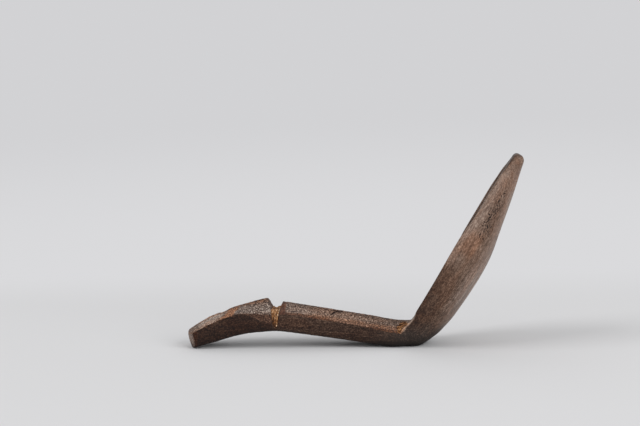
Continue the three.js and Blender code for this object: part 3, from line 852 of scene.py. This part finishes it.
def aged_wood():
    """Brown wood with grain, grit, dust and bared spots, a darker heel, and painted sheen, glints and
    shade, laid out by the painted masks.
    """
    n = Nodes("aged_wood_material")
    grain = n.attribute("grain", vector=True)
    bowl = n.attribute("bowl")
    top = n.attribute("top")
    raw = n.attribute("raw")
    streaks = n.noise(grain, (45.0, 620.0, 620.0), detail=4.0, roughness=0.6, distortion=0.3)
    bands = n.noise(grain, (18.0, 150.0, 150.0), detail=3.0, roughness=0.5)
    fibres = n.noise(grain, (110.0, 1500.0, 1500.0), detail=3.0, roughness=0.65)
    pores = n.noise(grain, (540.0, 1800.0, 1800.0), detail=2.0, roughness=0.6)
    speckle = n.noise(grain, (1450.0, 1520.0, 1520.0), detail=0.0, roughness=0.5)
    painted_glints = n.noise(grain, (980.0, 1020.0, 1020.0), detail=1.0, roughness=0.5)
    dots = n.noise(grain, (760.0, 1350.0, 1350.0), detail=1.0, roughness=0.5)
    reds = n.noise(grain, (40.0, 210.0, 210.0), detail=2.0, roughness=0.5)
    fresh = n.noise(grain, (480.0, 760.0, 760.0), detail=3.0, roughness=0.7)
    torn = n.noise(n.attribute("place", vector=True), (900.0, 260.0, 220.0), detail=2.0, roughness=0.6)

    run = n.times(n.sway(streaks, 0.05), n.spread(bowl, 0.0, 1.0, 1.0, 1.2))
    along = n.times(n.sway(fibres, 0.10), n.spread(n.attribute("calm"), 0.0, 1.0, 1.0, 0.4))
    along = n.times(along, n.spread(top, 0.0, 1.0, 1.0, 0.4))
    dots = n.times(n.spread(dots, 0.56, 0.63), n.attribute("pit_zone"))
    dots = n.math("MAXIMUM", dots, n.attribute("pits"))
    tone = n.total(
        n.attribute("tone"), run, n.sway(bands, 0.04), n.sway(pores, 0.10), along,
        n.times(n.sway(speckle, 0.125), n.attribute("gritty")),
        # Pale specks on the top: painted glints.
        n.times(n.times(n.spread(painted_glints, 0.62, 0.68), top), 0.22),
        n.times(n.attribute("worn"), 0.34),
        n.times(n.attribute("hollow"), -0.10),
        n.times(dots, -0.68))

    colour = n.ramp(tone, AGED_TONES)
    colour = n.mix(n.attribute("dust_and_sheen"), colour, n.ramp(tone, DUST_AND_SHEEN_TONES))
    red = n.times(n.spread(reds, 0.45, 0.62), 0.22)
    red = n.math("ADD", red, n.attribute("warm"), clamp=True)
    colour = n.mix(red, colour, n.tinted(colour, WARM_TINT))
    darker_heel = n.times(n.attribute("darker_heel"), n.spread(speckle, 0.3, 0.7, 0.95, 0.6))
    colour = n.mix(darker_heel, colour, DARK_HEEL_COLOUR)
    # Painted shade by the floor.
    colour = n.mix(n.attribute("floor_shade"), colour, n.tinted(colour, FLOOR_SHADE_TINT))
    torn_dark = n.tinted(SNAPPED_COLOUR, TORN_TINT)
    torn_colour = n.mix(n.spread(torn, 0.35, 0.65), SNAPPED_COLOUR, torn_dark)
    colour = n.mix(n.times(n.attribute("snapped"), 0.92), colour, torn_colour)
    colour = n.mix(raw, colour, n.ramp(n.spread(fresh, 0.36, 0.64, 0.05, 0.78), RAW_TONES))

    roughness = n.spread(bowl, 0.0, 1.0, 0.60, 0.42)
    roughness = n.total(roughness, n.times(raw, 0.2), n.sway(speckle, 0.06))
    fine = n.total(n.times(speckle, 0.5), n.times(fibres, 0.6))
    normal = n.bump(streaks, STREAK_BUMP_METRES, strength=0.4)
    normal = n.bump(fine, GRIT_BUMP_METRES, strength=0.6, base=normal)
    return n.surface(colour, roughness, normal, AGED_SPECULAR)


def raw_wood():
    """Orange splinters, with painted shade in the hollows and deep in the break."""
    n = Nodes("raw_wood_material")
    grain = n.attribute("grain", vector=True)
    fibres = n.noise(grain, (190.0, 700.0, 700.0), detail=4.0, roughness=0.65, distortion=0.4)
    specks = n.noise(grain, (700.0, 850.0, 850.0), detail=2.0, roughness=0.6)
    tone = n.total(
        n.spread(fibres, 0.3, 0.7, 0.39, 0.77),
        n.spread(specks, 0.32, 0.68, -0.34, 0.30),
        # Painted shade in the hollows and deep in the break.
        n.times(n.attribute("hollow"), -0.25),
        n.times(n.attribute("wear"), 0.08),
        n.times(n.attribute("pale"), 0.25),
        n.times(n.attribute("deep"), -0.60))
    roughness = n.spread(specks, 0.3, 0.7, 0.65, 0.85)
    normal = n.bump(tone, RAW_BUMP_METRES, strength=0.6)
    return n.surface(n.ramp(tone, RAW_TONES), roughness, normal, RAW_SPECULAR)


def seen_directly(n):
    """1 for what the camera sees, also in a reflection or through glass."""
    path = n.add("ShaderNodeLightPath")
    seen = n.math("MAXIMUM", path.outputs["Is Camera Ray"], path.outputs["Is Glossy Ray"])
    return n.math("MAXIMUM", seen, path.outputs["Is Transmission Ray"])


def stage_material():
    """Pale paper that keeps the shadow, and an even pale backdrop further away."""
    n = Nodes("stage_paper")
    place = n.add("ShaderNodeNewGeometry").outputs["Position"]
    length = n.add("ShaderNodeVectorMath", operation="LENGTH")
    n.link(place, length.inputs[0])
    away = length.outputs["Value"]
    parts = n.add("ShaderNodeSeparateXYZ")
    n.link(place, parts.inputs[0])
    far = n.math("MAXIMUM", n.spread(away, *BACKDROP_START),
                 n.spread(parts.outputs["Y"], *BACKDROP_BEHIND))
    paper = n.add("ShaderNodeBsdfDiffuse")
    paper.inputs["Color"].default_value = FLOOR_TONE
    backdrop = n.add("ShaderNodeEmission")
    n.link(n.ramp(n.spread(away, *BACKDROP_FADE), BACKDROP_TONES), backdrop.inputs["Color"])
    mix = n.add("ShaderNodeMixShader")
    n.link(n.times(far, seen_directly(n)), mix.inputs["Fac"])
    n.link(paper.outputs["BSDF"], mix.inputs[1])
    n.link(backdrop.outputs["Emission"], mix.inputs[2])
    out = n.add("ShaderNodeOutputMaterial")
    n.link(mix.outputs["Shader"], out.inputs["Surface"])
    return n.material


def make_stage():
    """A wide round floor."""
    angles = [2.0 * math.pi * k / FLOOR_SIDES for k in range(FLOOR_SIDES)]
    verts = [(FLOOR_RADIUS * math.cos(a), FLOOR_RADIUS * math.sin(a), 0.0) for a in angles]
    mesh = bpy.data.meshes.new("stage_floor")
    mesh.from_pydata(verts, [], [tuple(range(FLOOR_SIDES))])
    mesh.materials.append(stage_material())
    floor = bpy.data.objects.new("stage_floor", mesh)
    bpy.context.scene.collection.objects.link(floor)


def softbox(name, azimuth, elevation, half_breadth, power):
    """A square lamp at the rig's distance that faces the object."""
    a, e = math.radians(azimuth), math.radians(elevation)
    way = Vector((math.cos(a) * math.cos(e), math.sin(a) * math.cos(e), math.sin(e)))
    lamp = bpy.data.lights.new(name, "AREA")
    lamp.shape = "SQUARE"
    lamp.size = 2.0 * LAMP_DISTANCE * math.tan(math.radians(half_breadth))
    lamp.energy = power
    holder = bpy.data.objects.new(name, lamp)
    holder.location = way * LAMP_DISTANCE
    holder.rotation_mode = "QUATERNION"
    holder.rotation_quaternion = (-way).to_track_quat("-Z", "Y")
    bpy.context.scene.collection.objects.link(holder)


def make_light():
    """The softboxes, and an even white world that the camera sees as the backdrop."""
    for name, setting in SOFTBOXES.items():
        softbox(name, *setting)
    world = bpy.data.worlds.new("studio")
    world.use_nodes = True
    tree = world.node_tree
    tree.nodes.clear()
    light = tree.nodes.new("ShaderNodeBackground")
    light.inputs["Color"].default_value = WORLD_TONE
    light.inputs["Strength"].default_value = WORLD_STRENGTH
    shown = tree.nodes.new("ShaderNodeBackground")
    shown.inputs["Color"].default_value = (*BACKDROP_TONES[-1][1], 1.0)
    path = tree.nodes.new("ShaderNodeLightPath")
    mix = tree.nodes.new("ShaderNodeMixShader")
    tree.links.new(path.outputs["Is Camera Ray"], mix.inputs["Fac"])
    tree.links.new(light.outputs["Background"], mix.inputs[1])
    tree.links.new(shown.outputs["Background"], mix.inputs[2])
    out = tree.nodes.new("ShaderNodeOutputWorld")
    tree.links.new(mix.outputs["Shader"], out.inputs["Surface"])
    bpy.context.scene.world = world


def make_camera():
    """A long lens, a little above the floor and a little rolled."""
    a, e, r = CAMERA_AZIMUTH, CAMERA_ELEVATION, CAMERA_ROLL
    back = Vector((math.sin(a) * math.cos(e), -math.cos(a) * math.cos(e), math.sin(e)))
    level = Vector((math.cos(a), math.sin(a), 0.0))
    upright = back.cross(level)
    right = level * math.cos(r) + upright * math.sin(r)
    up = upright * math.cos(r) - level * math.sin(r)
    turn = Matrix((right, up, back)).transposed()
    data = bpy.data.cameras.new("camera")
    data.sensor_width = CAMERA_SENSOR
    data.lens = CAMERA_LENS
    data.clip_start, data.clip_end = CAMERA_CLIP_METRES
    camera = bpy.data.objects.new("camera", data)
    place = (Vector(CAMERA_TARGET) + back * CAMERA_DISTANCE) * MM
    camera.matrix_world = Matrix.Translation(place) @ turn.to_4x4()
    bpy.context.scene.collection.objects.link(camera)
    bpy.context.scene.camera = camera


make_camera()
make_stage()
make_light()
bpy.context.scene.view_settings.view_transform = "Standard"

aged = aged_wood()
for node, name in (("bowl_and_shank", "bowl_and_shank_wood"), ("handle_end", "handle_end_wood")):
    billet = Skin(node, name, SKIN_VOXEL)
    paint_billet(billet, shape_billet(billet))
    billet.finish(aged)
fill = Skin("break_fill", "break_fill_splinters", FILL_VOXEL)
carve_fill(fill)
fill.finish(raw_wood())
